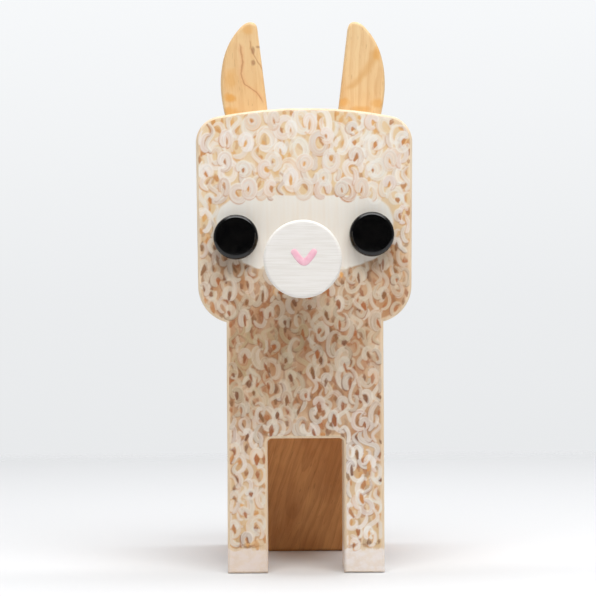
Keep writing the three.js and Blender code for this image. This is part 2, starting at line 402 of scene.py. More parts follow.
def vein(m, place, line, half_width, wobble):
    """How much of a dark vein lies at each place; line gives its (x, z) points from the lowest up."""
    x_values, z_values = zip(*line)
    left, right, foot, top = min(x_values), max(x_values), z_values[0], z_values[-1]
    along = m.add("ShaderNodeMapRange", {"Value": m.axis(place, "Z"), "From Min": foot, "From Max": top})
    bend = m.tree.nodes.new("ShaderNodeFloatCurve")
    m.give(bend.inputs["Value"], along)
    points = bend.mapping.curves[0].points
    for _ in line[2:]:
        points.new(0.5, 0.5)
    for point, (x, z) in zip(points, line):
        point.location = ((z - foot) / (top - foot), (x - left) / (right - left))
    bend.mapping.update()
    centre = m.add("ShaderNodeMapRange", {"Value": bend.outputs[0], "To Min": left, "To Max": right})
    stray = m.noise(place, (0.45, 0.45, 0.3), detail=3)
    stray = m.math("MULTIPLY", m.math("SUBTRACT", stray, 0.5), wobble)
    gap = m.math("ABSOLUTE", m.math("ADD", m.math("SUBTRACT", m.axis(place, "X"), centre), stray))
    within = m.math("MULTIPLY", m.range(along, 0.0, 0.12), m.range(along, 0.88, 1.0, 1.0, 0.0))
    return m.math("MULTIPLY", m.range(gap, 0.0, half_width, 1.0, 0.0), within)


def patch(m, place, x, z, width, height):
    """How much of a soft ragged patch about (x, z) lies at each place."""
    about = m.vector("SUBTRACT", place, (x, 0, z))
    about = m.vector("MULTIPLY", about, (2 / width, 0, 2 / height))
    reach = m.vector("LENGTH", about, out="Value")
    edge = m.noise(place, (0.8, 0.8, 0.5), detail=3)
    reach = m.math("ADD", reach, m.math("SUBTRACT", edge, 0.5))
    return m.range(reach, 0.35, 1.1, 1.0, 0.0)


VEIN_BROWN = srgb(176, 118, 70)
VEIN_DARK = srgb(146, 96, 62)
HONEY = srgb(224, 162, 72)
ROSE = srgb(226, 168, 122)


def left_ear_marks(m, place, colour):
    """Mineral veins that run down and then across to the inner edge, small knots, and honey patches."""
    long_vein = [(-10.8, 125.6), (-12.5, 128.8), (-14.6, 130.4), (-16.3, 132.2), (-16.8, 135.2)]
    long_vein += [(-16.6, 138.5), (-17.6, 143)]
    short_vein = [(-10.9, 134.6), (-12.0, 137), (-13.6, 139.6), (-14.4, 143.6)]
    honey = ((-19.9, 127.6, 4, 3), 0.75), ((-19.8, 123.6, 5, 4), 0.6), ((-19.6, 132.6, 4, 7), 0.4)
    for area, strength in (*honey, ((-15, 146, 4, 3), 0.4)):
        colour = m.blot(colour, patch(m, place, *area), strength, HONEY)
    colour = m.blot(colour, vein(m, place, long_vein, 1.3, 1.6), 0.45, ROSE)
    colour = m.blot(colour, vein(m, place, long_vein, 0.42, 1.6), 0.62, VEIN_BROWN)
    colour = m.blot(colour, vein(m, place, short_vein, 0.36, 1.3), 0.6, VEIN_BROWN)
    for area in ((-13.6, 140.6, 1.4, 2.6), (-12.1, 141.4, 1.8, 1.0), (-13.5, 137.1, 1.5, 1.9)):
        colour = m.blot(colour, patch(m, place, *area), 0.6, VEIN_DARK)
    return colour


def right_ear_marks(m, place, colour):
    """A darker band slants down across the ear, with honey patches at its outer side and its foot."""
    band = [(11.6, 129.2), (14.4, 131.6), (17.6, 135.4), (20.2, 141)]
    colour = m.blot(colour, vein(m, place, band, 2.2, 2.0), 0.55, srgb(214, 160, 92))
    for area in ((20.3, 139.4, 2.6, 5), (11, 126.2, 4, 3), (20.3, 126, 4, 3.4), (15.6, 124.2, 7, 2.6)):
        colour = m.blot(colour, patch(m, place, *area), 0.55, HONEY)
    return colour


FRONT_TONES = srgb(240, 221, 194), srgb(232, 206, 172), srgb(208, 170, 128)
FRONT_LOOK = dict(heart=(12, -40, -30), ring_mm=2.6, figure=0.25, flecks=0.2)
# The left foot's paint is a little darker than the right's: painted shade, as if lit more from the right.
SHADED_LEFT_FOOT, RIGHT_FOOT = srgb(238, 222, 212), srgb(245, 235, 229)
FOOT_TOP = 6.4  # mm above the floor


def painted_wood():
    """The front board: bare light wood, paint where the mesh's paint attribute says, and painted feet, the
    left one a little darker as painted shade.
    """
    m = Nodes("painted_wood")
    place, colour, height, _ = wood_nodes(m, *FRONT_TONES, **FRONT_LOOK)
    up, across = m.axis(place, "Z"), m.axis(place, "X")
    ragged = m.noise(place, (0.5, 0.5, 0.2), detail=3)
    edge = m.math("ADD", up, m.range(ragged, 0.3, 0.7, -0.5, 0.5))
    thin = m.noise(place, (0.35, 0.35, 0.5), detail=4, rough=0.65)
    foot = m.range(edge, FOOT_TOP - 0.25, FOOT_TOP + 0.25, 1.0, 0.0)
    foot = m.math("MULTIPLY", foot, m.range(thin, 0.4, 0.62, 0.95, 0.62))
    foot = m.math("MULTIPLY", foot, m.range(up, 0.0, 1.2, 0.65, 1.0))
    # Painted feet, darker on the left as painted shade.
    colour = m.mix(foot, colour, m.mix(m.range(across, -5, 5), SHADED_LEFT_FOOT, RIGHT_FOOT))
    paint = m.tree.nodes.new("ShaderNodeAttribute")
    paint.attribute_name = "paint"
    bristle = m.noise(place, (3.4, 3.4, 2.2), detail=3, rough=0.6)
    cover = m.math("MULTIPLY", paint.outputs["Alpha"], m.range(bristle, 0.3, 0.7, 0.9, 1.0), clamp=True)
    tint = m.range(bristle, 0.3, 0.75, 0.0, 0.07)
    colour = m.mix(cover, colour, m.mix(tint, paint.outputs["Color"], srgb(214, 190, 168)))
    coated = m.math("MAXIMUM", cover, foot)
    m.set(Base_Color=colour, Roughness=m.range(coated, 0.0, 1.0, 0.46, 0.6))
    relief = m.math("ADD", m.math("MULTIPLY", height, 0.7), m.math("MULTIPLY", bristle, 0.5))
    m.set(Normal=m.bump(relief, 0.22, 0.05))
    return m.owner


def white_paint():
    """Off-white paint laid on with level brush strokes, with the wood's warmth showing at thin places."""
    m = Nodes("white_paint")
    place = m.millimetres()
    stroke = m.noise(place, (0.12, 0.6, 3.0), detail=4, rough=0.6)
    thin = m.noise(place, (0.2, 0.2, 0.5), detail=3)
    colour = m.mix(m.range(stroke, 0.35, 0.7), srgb(241, 237, 232), srgb(232, 227, 220))
    colour = m.mix(m.range(thin, 0.62, 0.9, 0.0, 0.3), colour, srgb(232, 216, 198))
    m.set(Base_Color=colour, Roughness=m.range(stroke, 0.3, 0.7, 0.48, 0.62))
    m.set(Normal=m.bump(stroke, 0.22, 0.06))
    return m.owner


def pink_paint():
    m = Nodes("pink_paint")
    place = m.millimetres()
    pool = m.noise(place, (0.9, 0.9, 0.9), detail=3)
    fine = m.noise(place, (3, 3, 3), detail=2)
    m.set(Base_Color=m.mix(m.range(pool, 0.3, 0.7), srgb(252, 202, 214), srgb(246, 184, 202)))
    m.set(Roughness=m.range(pool, 0.3, 0.7, 0.4, 0.55), Normal=m.bump(fine, 0.2, 0.04))
    return m.owner


def black_gloss():
    """Glossy black with faint polishing swirls."""
    m = Nodes("black_gloss")
    place = m.millimetres()
    swirl = m.noise(place, (0.5, 0.5, 0.5), detail=4, rough=0.6, distortion=0.8)
    dust = m.noise(place, (5, 5, 5), detail=2)
    m.set(Base_Color=m.mix(m.range(swirl, 0.3, 0.7), (0.002, 0.002, 0.0024), (0.0042, 0.004, 0.0038)))
    m.set(Roughness=m.range(swirl, 0.3, 0.7, 0.07, 0.13), Normal=m.bump(dust, 0.04, 0.02))
    m.set(IOR=1.5)
    return m.owner


PAINTED = painted_wood()
TILTED, THROUGH = (0, math.radians(-19), 0), (math.radians(90), 0, 0)  # how the grain is turned
REAR_TONES = srgb(218, 156, 94), srgb(194, 130, 70), srgb(150, 88, 38)
REAR_WOOD = wood(
    "rear_wood", *REAR_TONES, turn=TILTED, heart=(-2, 30, 34), stretch=6.5, ring_mm=2.1, figure=0.24
)
BLOCK_TONES = srgb(226, 178, 128), srgb(208, 156, 104), srgb(164, 108, 60)
BLOCK_WOOD = wood("block_wood", *BLOCK_TONES, turn=THROUGH, heart=(20, 10, 0), ring_mm=2.6, figure=0.45)
EAR_TONES = srgb(235, 203, 154), srgb(227, 187, 134), srgb(208, 154, 96)
LEFT_LOOK = dict(heart=(-60, 20, 90), ring_mm=2.8, figure=0.2)
RIGHT_LOOK = dict(heart=(70, 20, 60), ring_mm=2.2, figure=0.25)
EAR_WOODS = {
    "left": wood("ear_wood_left", *EAR_TONES, left_ear_marks, **LEFT_LOOK),
    "right": wood("ear_wood_right", *EAR_TONES, right_ear_marks, **RIGHT_LOOK),
}
DOWEL_TONES = srgb(232, 208, 168), srgb(220, 190, 144), srgb(180, 142, 96)
DOWEL_WOOD = wood("dowel_wood", *DOWEL_TONES, turn=THROUGH, heart=(9, 9, 0))
WHITE = white_paint()
PINK = pink_paint()
BLACK = black_gloss()

# ---------------------------------------------------------------- boards and ears
board = plank("front_board_wood", "front_board", PAINTED, edge=0.8 * MM)
paint_layer(board.data, np.zeros((len(board.data.vertices), 4)))
plank("rear_board_wood", "rear_board", REAR_WOOD)
plank("body_block_wood", "body_block", BLOCK_WOOD, edge=0.35 * MM)
for side, finish in EAR_WOODS.items():
    plank("ear_" + side + "_wood", "ear_" + side, finish, edge=0.85 * MM, step=0.5 * MM)

for name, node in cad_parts.items():
    if "dowel" in name or "pin" in name:
        for material_slot in node.material_slots:
            material_slot.material = DOWEL_WOOD


# ---------------------------------------------------------------- eyes
def button_eye(node):
    """A polished button: a low dome, a round shoulder, a short straight side, and its stem in the head."""
    front, back, centre, radius = round_node(node)
    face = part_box("front_board")[0].y
    dome, shoulder, stem = 0.22 * MM, 1.05 * MM, 3 * MM
    brim = front + dome
    profile = [(0, back), (stem, back), (stem, face), (radius, face)]
    for angle in np.linspace(0, math.radians(84), 14):
        profile.append((radius - shoulder * (1 - math.cos(angle)), brim + shoulder * (1 - math.sin(angle))))
    shelf, depth = profile[-1]
    for share in np.linspace(1, 0, 22)[1:]:
        profile.append((shelf * share, front + (depth - front) * share**2.2))
    turned(node + "_dome", profile, centre, BLACK, [node], sides=128)


for node in ("eye_left", "eye_right"):
    button_eye(node)


# ---------------------------------------------------------------- nose
PAINT_STANDS = 0.22 * MM  # how far the painted mark stands out from the nose


def nose():
    foremost, back, centre, radius = round_node("nose_disc")
    front = foremost + PAINT_STANDS
    edge = 0.8 * MM
    arc = np.linspace(0, math.pi / 2, 8)
    profile = [(0, back)]
    profile += [(radius - edge + edge * math.sin(a), back - edge + edge * math.cos(a)) for a in arc]
    profile += [(radius - edge + edge * math.cos(a), front + edge - edge * math.sin(a)) for a in arc]
    profile += [((radius - edge) * (1 - k / 14), front) for k in range(1, 15)]

    def brushed(point):
        """Brush marks run level across the face, and the rim is a little out of round."""
        level = noise.noise(Vector((point.x / (16 * MM), 7, point.z / (0.75 * MM))))
        lump = noise.noise(Vector((point.x / (5 * MM), 3, point.z / (5 * MM))))
        if point.y < front + edge / 2:
            point.y += 0.009 * MM * (1 + level)
        middle = Vector((centre[0], point.y, centre[1]))
        return middle + (point - middle) * (1 - 0.004 * (1 + lump))

    turned("nose_disc_painted", profile, centre, WHITE, ["nose_disc"], 160, brushed)
    return centre, front


def nose_mark(centre, front):
    """A small V of thick paint on the nose: a half-round bead along a bent line."""
    middle = Vector((centre[0] + 0.36 * MM, centre[1] + 0.84 * MM))
    half, rise, bow, sunk = 3.0 * MM, 1.66 * MM, 0.12, 0.02 * MM
    steps, across = 40, 10
    verts, faces, line = [], [], []
    for k in range(steps + 1):
        t = -1 + 2 * k / steps
        bend = (math.sqrt(t * t + bow) - math.sqrt(bow)) / (math.sqrt(1 + bow) - math.sqrt(bow))
        line.append(Vector((middle.x + half * t, middle.y - rise + 2 * rise * bend)))
    for k, point in enumerate(line):
        t = -1 + 2 * k / steps
        ahead = (line[min(k + 1, steps)] - line[max(k - 1, 0)]).normalized()
        side = Vector((-ahead.y, ahead.x))
        full = math.sqrt(max(0.0, 1 - abs(t) ** 14))
        width = (0.86 + 0.06 * (1 - abs(t))) * MM * full
        for i in range(across + 1):
            angle = math.pi * i / across
            place = point + side * (width * math.cos(angle))
            proud = (PAINT_STANDS + sunk) * full * math.sin(angle)
            verts.append((place.x, front + sunk - proud, place.y))
    row = across + 1
    for k in range(steps):
        for i in range(across):
            a = k * row + i
            faces.append((a, a + 1, a + row + 1, a + row))
        faces.append((k * row + across, k * row, (k + 1) * row, (k + 1) * row + across))
    tidy_solid(piece("nose_mark_paint", verts, faces, PINK).data)


nose_centre, nose_front = nose()
nose_mark(nose_centre, nose_front)

CHAMFER = 0.6 * MM
peg_front, peg_back, peg_centre, peg_radius = round_node("nose_peg")
peg_profile = [(0, peg_front), (peg_radius - CHAMFER, peg_front), (peg_radius, peg_front + CHAMFER)]
peg_profile += [(peg_radius, peg_back - CHAMFER), (peg_radius - CHAMFER, peg_back), (0, peg_back)]
turned("nose_peg_dowel", peg_profile, peg_centre, DOWEL_WOOD, ["nose_peg"])


# ---------------------------------------------------------------- painted coat
GRID = 0.2 * MM
EDGE_ROUND = 0.6 * MM
CHIN = 66.1 * MM
BROW = 99.5 * MM
MASK_Z, MASK_HALF_W, MASK_UP, MASK_DOWN = 89.8 * MM, 22.8 * MM, 9.9 * MM, 10.4 * MM
WHITES = [srgb(250, 246, 239), srgb(244, 240, 233), srgb(238, 233, 225), srgb(246, 239, 234)]
WHITES.append(srgb(240, 238, 230))
HEAD_BROWNS = [srgb(210, 146, 74), srgb(198, 126, 54), srgb(224, 164, 88), srgb(184, 120, 66)]
# The body browns are darker than the head browns, partly as painted shade below the nose.
BODY_BROWNS = [srgb(146, 72, 8), srgb(116, 58, 8), srgb(166, 86, 12), srgb(128, 74, 20)]
MASK_PAINT = srgb(242, 239, 232)
# The second, darker wash and the beige are used down the body, partly as painted shade.
WASHES = [srgb(230, 200, 154), srgb(168, 108, 54)]
BEIGE = srgb(196, 172, 130)
# How the brush is used on the forehead and below it, in mm: how far apart the off-white curls, brown curls
# and brown gaps are, the off-white curls' kinds, size and breadth, the breadth of the strokes that fill in,
# how much a gap's dab grows and leans, and the breadth and sweep (in radians) of the curl round a gap.
FOREHEAD = dict(curls_apart=5.0, browns_apart=3.2, gaps_apart=5.0)
FOREHEAD.update(kinds=["loop", "loop", "loop", "C"], size=2.7, broad=(1.7, 2.3), filler=(1.2, 1.7))
FOREHEAD.update(dab_grows=1.15, dab_leans=0.5, ring=2.0, sweep=(4.4, 6.0))
FLEECE = dict(curls_apart=4.4, browns_apart=2.3, gaps_apart=4.2)
FLEECE.update(kinds=["C", "C", "C", "S", "loop"], size=2.2, broad=(1.2, 1.7), filler=(1.0, 1.4))
FLEECE.update(dab_grows=1.3, dab_leans=0.25, ring=1.5, sweep=(2.8, 4.2))


def zone(z):
    return FOREHEAD if z > BROW else FLEECE


class Canvas:
    """A grid of paint: its colour times its cover, its cover, and its thickness."""

    def __init__(self, low, high, step):
        self.step = step
        self.x = np.arange(low[0], high[0] + step, step)
        self.z = np.arange(low[1], high[1] + step, step)
        shape = (len(self.z), len(self.x))
        self.colour = np.zeros((*shape, 3))
        self.cover = np.zeros(shape)
        self.height = np.zeros(shape)

    def at(self, field, x, z):
        """A field's value at the grid point nearest to (x, z)."""
        col = np.clip(np.rint((np.asarray(x) - self.x[0]) / self.step).astype(int), 0, len(self.x) - 1)
        row = np.clip(np.rint((np.asarray(z) - self.z[0]) / self.step).astype(int), 0, len(self.z) - 1)
        return field[row, col]

    def lay(self, rows, cols, alpha, colour, thick):
        """Adds paint to part of the grid. Wet paint levels what is under it a little."""
        alpha = np.clip(alpha, 0, 1)
        a = alpha[..., None]
        self.colour[rows, cols] = self.colour[rows, cols] * (1 - a) + np.array(colour) * a
        self.cover[rows, cols] = self.cover[rows, cols] * (1 - alpha) + alpha
        self.height[rows, cols] = self.height[rows, cols] * (1 - 0.45 * alpha) + thick

    def glaze(self, other):
        """Lays another canvas over this one."""
        clear = 1 - other.cover
        self.colour = self.colour * clear[..., None] + other.colour
        self.cover = self.cover * clear + other.cover
        self.height = self.height * (0.5 + 0.5 * clear) + other.height

    def stroke(self, path, half_width, colour, opacity, thick, rng):
        """One brush stroke along path; half_width has one value for each of its points."""
        reach = half_width.max() + 2 * self.step
        cols = slice(*np.searchsorted(self.x, (path[:, 0].min() - reach, path[:, 0].max() + reach)))
        rows = slice(*np.searchsorted(self.z, (path[:, 1].min() - reach, path[:, 1].max() + reach)))
        px, pz = self.x[cols][None, :, None], self.z[rows][:, None, None]
        start, run = path[:-1], path[1:] - path[:-1]
        t = (px - start[:, 0]) * run[:, 0] + (pz - start[:, 1]) * run[:, 1]
        t = np.clip(t / (run**2).sum(axis=1), 0, 1)
        off_x, off_z = px - start[:, 0] - t * run[:, 0], pz - start[:, 1] - t * run[:, 1]
        width = half_width[:-1] + t * (half_width[1:] - half_width[:-1])
        ratio = np.hypot(off_x, off_z) / width
        best = ratio.argmin(axis=2)[..., None]
        across = np.take_along_axis(ratio, best, 2)[..., 0]
        side = np.sign(run[:, 0] * off_z - run[:, 1] * off_x)
        signed = across * np.take_along_axis(side, best, 2)[..., 0]
        along = (best[..., 0] + np.take_along_axis(t, best, 2)[..., 0]) / len(run)
        local = np.take_along_axis(width, best, 2)[..., 0]
        edge = np.clip((1 - across) * local / (1.2 * self.step), 0, 1)
        bristles = np.interp(signed, np.linspace(-1, 1, 11), rng.uniform(0, 1, 11))
        dry = 0.24 + 0.5 * np.clip(along * 1.6 - 0.6, 0, 1)
        load = np.interp(along, np.linspace(0, 1, 7), rng.uniform(0.84, 1, 7))
        rim = np.clip(across, 0, 1) ** 2
        alpha = edge * opacity * load * (1 - dry * bristles) * (0.84 + 0.16 * rim)
        ridge = thick * edge * (0.55 + 0.45 * rim) * (1 - 0.6 * dry * bristles)
        self.lay(rows, cols, alpha, colour, ridge)


def waves(x, z, size, rng):
    """A smooth random field between about -1 and 1, with features of the given size."""
    count = 14
    total = np.zeros(np.broadcast(x, z).shape)
    for _ in range(count):
        heading, phase = rng.uniform(0, math.pi), rng.uniform(0, 2 * math.pi)
        length = size * rng.uniform(0.6, 1.6)
        total += np.cos(2 * math.pi * (x * math.cos(heading) + z * math.sin(heading)) / length + phase)
    return total / math.sqrt(count)


def mask_level(x, z):
    """Below 1 inside the plain face mask round the eyes and nose, whose top is flatter than its foot."""
    above = z > MASK_Z
    power = np.where(above, 4.5, 2.0)
    reach_x, reach_z = np.abs(x) / MASK_HALF_W, np.abs(z - MASK_Z) / np.where(above, MASK_UP, MASK_DOWN)
    return (reach_x**power + reach_z**power) ** (1 / power)


def curl_path(centre, size, kind, rng):
    """A brush path: a closed loop, a C to either side, an S or a comma."""
    turn = rng.choice([-1, 1])
    lean = rng.normal(0, 0.2)
    half_w, half_h = size * rng.uniform(0.66, 0.88), size * rng.uniform(1.05, 1.4)
    if kind == "loop":
        half_h = size * rng.uniform(0.8, 1.15)
        t = np.linspace(0, rng.uniform(4.6, 6.5), 20) + rng.uniform(0, 2 * math.pi)
    elif kind == "S":
        t = np.linspace(-1, 1, 16)
        x, z = half_w * 0.75 * np.sin(math.pi * t) * turn, half_h * 1.25 * t
    else:
        sweep = rng.uniform(3.3, 4.6) if kind == "C" else rng.uniform(1.5, 2.4)
        t = np.linspace(-sweep / 2, sweep / 2, 16) + rng.normal(0, 0.3)
    if kind != "S":
        spiral = np.linspace(1, rng.uniform(0.62, 1.0), len(t))
        x, z = half_w * spiral * np.cos(t) * turn, half_h * spiral * np.sin(t)
    along = np.linspace(0, 1, len(x))
    x = x + size * 0.06 * np.interp(along, np.linspace(0, 1, 5), rng.normal(0, 1, 5))
    z = z + size * 0.06 * np.interp(along, np.linspace(0, 1, 5), rng.normal(0, 1, 5))
    c, s = math.cos(lean), math.sin(lean)
    return np.stack([centre[0] + c * x - s * z, centre[1] + s * x + c * z], axis=1)


def stroke_width(full, points, rng):
    """Half widths along a stroke: a round start, full in the middle and thinner where the brush lifts."""
    t = np.linspace(0, 1, points)
    lift = rng.uniform(0.35, 0.75)
    return full / 2 * np.minimum(np.minimum(0.7 + 3 * t, 1), lift + (1 - lift) * 3 * (1 - t)).clip(0.3, 1)


def tone_with_painted_shade(z):
    """How deep the coat's colours are at a height: 0 on the forehead, 1 on the body, less down the legs. It
    is partly browner paint and partly painted shade, which darkens the cheeks, neck and body below the nose.
    """
    heights = np.array([0, 22, 42, 66, 82, 94]) * MM
    return np.interp(z, heights, [0.2, 0.35, 0.95, 1.0, 0.9, 0.0])


def beige_with_painted_shade(x, z):
    """How far the off-white of the curls goes towards beige: partly paint, partly painted shade down the neck
    and body below the nose. The left leg and the left of the body below the chin have more of it than the
    right, as painted shade for light that comes more from the right.
    """
    heights = np.array([0, 34, 46, 62, 82, 94]) * MM
    return np.interp(z, heights, [0.0, 0.05, 0.5, 0.8, 0.6, 0.0]) + (0.25 if x < 0 and z < CHIN else 0)


class Coat:
    """The alpaca's painted fleece: brown showing in the gaps between off-white curls, round a plain mask."""

    def __init__(self):
        self.rng = np.random.default_rng(41)
        low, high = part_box("front_board")
        self.low, self.high = low, high
        flat = inset(smoothed(outline_of("front_board"), 1.4 * MM), EDGE_ROUND)
        self.under = Canvas((low.x, low.z), (high.x, high.z), GRID)
        self.curls = Canvas((low.x, low.z), (high.x, high.z), GRID)
        self.x, self.z = np.meshgrid(self.under.x, self.under.z)
        self.depth, self.near_x, self.near_z = distance_inside(flat, self.x, self.z)
        self.wash()
        self.brown_curls()
        self.white_curls()
        self.fill_gaps()
        self.dab_gaps()
        self.fringe()
        self.mask()
        self.under.glaze(self.curls)

    def everywhere(self, alpha, colour, thick):
        self.under.lay(slice(None), slice(None), alpha, colour, thick * alpha)

    def spots(self, count):
        """Random places on the face, outside the mask and above the painted feet."""
        spots = self.rng.uniform((self.low.x, self.low.z), (self.high.x, self.high.z), (count, 2))
        depth = self.under.at(self.depth, *spots.T)
        fringe = np.where(spots[:, 1] > MASK_Z, 1.1, 1.04)
        above_feet = spots[:, 1] > (FOOT_TOP + 1) * MM
        return spots[(depth > 0.3 * MM) & above_feet & (mask_level(*spots.T) > fringe)]

    def spread(self, count, gap):
        """Random places at least gap(z) apart."""
        kept = np.zeros((0, 2))
        for spot in self.spots(count):
            if not len(kept) or np.hypot(*(kept - spot).T).min() > gap(spot[1]):
                kept = np.vstack([kept, spot])
        return kept

    def fitting(self, spot, size, kinds, margin):
        """A curl at a spot that stays on the flat of the face and off the mask, or None after six tries."""
        for _ in range(6):
            path = curl_path(spot, size * self.rng.uniform(0.85, 1.15), self.rng.choice(kinds), self.rng)
            on_face = self.under.at(self.depth, *path.T).min() > margin
            if on_face and path[:, 1].min() > (FOOT_TOP + 0.5) * MM and mask_level(*path.T).min() > 0.94:
                return path
        return None

    def wash(self):
        """A thin uneven wash, browner down the body, partly as painted shade."""
        deep = tone_with_painted_shade(self.z)[..., None]
        tone = np.array(WASHES[0]) * (1 - deep) + np.array(WASHES[1]) * deep
        patchy = waves(self.x, self.z, 9 * MM, self.rng)
        cover = np.clip(0.72 + 0.2 * patchy, 0, 0.95) * np.clip(self.depth / (0.7 * MM), 0, 1)
        cover *= np.clip((self.z - FOOT_TOP * MM) / (0.5 * MM), 0, 1)
        self.everywhere(cover, tone, 0.006 * MM)

    def brown(self, z):
        # Darker body browns where the tone deepens: partly browner paint, partly painted shade.
        tones = BODY_BROWNS if self.rng.random() < tone_with_painted_shade(z) else HEAD_BROWNS
        return tones[self.rng.integers(len(tones))]

    def brown_curls(self):
        rng = self.rng
        for spot in self.spread(9000, lambda z: zone(z)["browns_apart"] * MM):
            path = self.fitting(spot, 1.4 * MM, ["C", "comma", "comma", "S"], 0.5 * MM)
            if path is not None:
                width = stroke_width(rng.uniform(0.9, 1.4) * MM, len(path), rng)
                self.under.stroke(path, width, self.brown(spot[1]), rng.uniform(0.35, 0.75), 0.02 * MM, rng)

    def white(self, path, full):
        """An off-white stroke. Some have a thin brown line along their lower side: partly undercoat showing,
        partly painted shadow under the stroke's raised edge. Those just above the feet or the brow always
        have one.
        """
        rng = self.rng
        width = stroke_width(full, len(path), rng)
        low_edge = path[:, 1].min() < (FOOT_TOP + 2.5) * MM or BROW < path[:, 1].min() < BROW + 2.5 * MM
        # The brown line below the stroke: partly undercoat, partly painted shadow.
        if low_edge or rng.random() < 0.55:
            drop = np.array([rng.uniform(-0.35, 0.1), -rng.uniform(0.16, 0.34)]) * MM
            strength = rng.uniform(1.0, 1.4) if low_edge else rng.uniform(0.7, 1.3)
            self.curls.stroke(path + drop, width * 0.95, self.brown(path[0, 1]), strength, 0.01 * MM, rng)
        # Beige in the whites, partly painted shade.
        beige = min(1, beige_with_painted_shade(*path.mean(axis=0)) * rng.uniform(0.6, 1.1))
        tone = np.array(WHITES[rng.integers(len(WHITES))]) * (1 - beige) + np.array(BEIGE) * beige
        self.curls.stroke(path, width, tone, rng.uniform(0.84, 1.0), rng.uniform(0.04, 0.07) * MM, rng)
        for side in (-1, 0, 1):
            hair = path + (side * rng.uniform(0.14, 0.26) + rng.normal(0, 0.04)) * full
            streak = np.clip(tone * rng.choice([0.78, 0.86, 1.1]), 0, 0.95)
            self.curls.stroke(hair, width * 0.2, streak, rng.uniform(0.45, 0.9), 0.01 * MM, rng)

    def white_curls(self):
        """Round loops on the forehead and smaller, taller Cs and Ss everywhere else."""
        for spot in self.spread(12000, lambda z: zone(z)["curls_apart"] * MM):
            here = zone(spot[1])
            full = self.rng.uniform(*here["broad"]) * MM
            path = self.fitting(spot, here["size"] * MM, here["kinds"], 0)
            if path is not None:
                self.white(path, full)

    def fill_gaps(self):
        """Short strokes where the curls have left too much bare."""
        for spot in self.spots(7000):
            full = self.rng.uniform(*zone(spot[1])["filler"]) * MM
            path = self.fitting(spot, 1.9 * MM, ["comma", "C", "C", "S"], 0)
            if path is not None and self.curls.at(self.curls.cover, *path.T).mean() < 0.14:
                self.white(path, full)

    def gaps(self):
        """Upright gaps where brown shows most, well apart: rows of x, z, half the height and the width."""
        spots = self.spread(6000, lambda z: zone(z)["gaps_apart"] * MM)
        spots = spots[self.under.at(self.depth, *spots.T) > 0.8 * MM]
        half = self.rng.uniform(0.5, 1.5, len(spots)) * MM
        wide = self.rng.uniform(0.7, 1.3, len(spots)) * MM
        return np.column_stack([spots, half, wide])

    def curl_round(self, gap, others):
        """A white curl that hugs a gap and leaves the other gaps clear, or None after ten tries."""
        rng = self.rng
        x, z, half, wide = gap
        full = zone(z)["ring"] * rng.uniform(0.85, 1.2) * MM
        for _ in range(10):
            turn, start = rng.choice([-1, 1]), rng.uniform(-1.2, 1.2)
            t = np.linspace(start, start + rng.uniform(*zone(z)["sweep"]), 18)
            reach = np.linspace(1.0, rng.uniform(1.0, 1.25), 18)
            across, up = wide / 2 + 0.3 * full, half + 0.3 * full
            path = np.stack([x + turn * across * reach * np.cos(t), z + up * reach * np.sin(t)], axis=1)
            clear = np.hypot(*(path[:, None] - others).transpose(2, 0, 1)).min() > 0.45 * full
            if clear and self.under.at(self.depth, *path.T).min() > 0 and mask_level(*path.T).min() > 0.94:
                return path, full
        return None

    def dab_gaps(self):
        """Brown gaps, each with a curl round it, and small brown dabs where much is still bare."""
        rng = self.rng
        gaps = self.gaps()
        for x, z, half, wide in gaps:
            grown = zone(z)["dab_grows"]
            self.dab(np.array([x, z]), half * grown, wide * grown, self.curls, rng.uniform(1.2, 1.7))
        for k, gap in enumerate(gaps):
            found = self.curl_round(gap, np.delete(gaps, k, axis=0)[:, :2])
            if found:
                self.white(*found)
        cover = self.curls.cover
        near = sum(np.roll(cover, (dz, dx), (0, 1)) for dz in (-3, 0, 3) for dx in (-3, 0, 3)) / 9
        for spot in self.spread(24000, lambda z: 1.9 * MM if z > CHIN else 1.6 * MM):
            if self.curls.at(near, *spot) < 0.6 and self.curls.at(cover, *spot) < 0.4:
                half, wide = rng.uniform(0.5, 1.4) * MM, rng.uniform(1.0, 1.7) * MM
                self.dab(spot, half, wide, self.under, rng.uniform(0.9, 1.4))

    def dab(self, spot, half, wide, canvas, opacity):
        """One upright brown touch of a small brush."""
        rise = np.array([self.rng.normal(-0.1, zone(spot[1])["dab_leans"]), 1.0]) * half * 0.85
        path = np.array([spot - rise, spot, spot + rise])
        width = np.array([0.3, 0.52, 0.24]) * self.rng.uniform(0.8, 1.15, 3) * wide
        canvas.stroke(path, width, self.brown(spot[1]), opacity, 0.01 * MM, self.rng)

    def fringe(self):
        """Dark scribbles where the fleece ends above the bare feet."""
        rng = self.rng
        for x, _ in rng.uniform((self.low.x, 0), (self.high.x, 0), (90, 2)):
            z = (FOOT_TOP + rng.uniform(0.4, 1.3)) * MM
            run = rng.uniform(0.5, 1.5) * MM
            t = np.linspace(-1, 1, 5)
            path = np.stack([x + run * t, z + rng.normal(0, 0.15) * MM * t + 0.3 * MM * t**2], axis=1)
            if self.under.at(self.depth, *path.T).min() > 0.1 * MM:
                width = np.array([0.3, 0.8, 1.0, 0.8, 0.3]) * rng.uniform(0.15, 0.42) * MM
                self.curls.stroke(path, width, self.brown(60 * MM), rng.uniform(0.4, 0.9), 0.006 * MM, rng)

    def mask(self):
        ragged = mask_level(self.x, self.z) + 0.012 * waves(self.x, self.z, 5 * MM, self.rng)
        lines = waves(self.x * 9, self.z * 0.5, 9 * MM, self.rng)
        alpha = np.clip((1.04 - ragged) / 0.03, 0, 1) * np.clip(0.95 + 0.04 * lines, 0, 1)
        self.everywhere(alpha * np.clip(self.depth / (0.5 * MM), 0, 1), MASK_PAINT, 0.012 * MM)

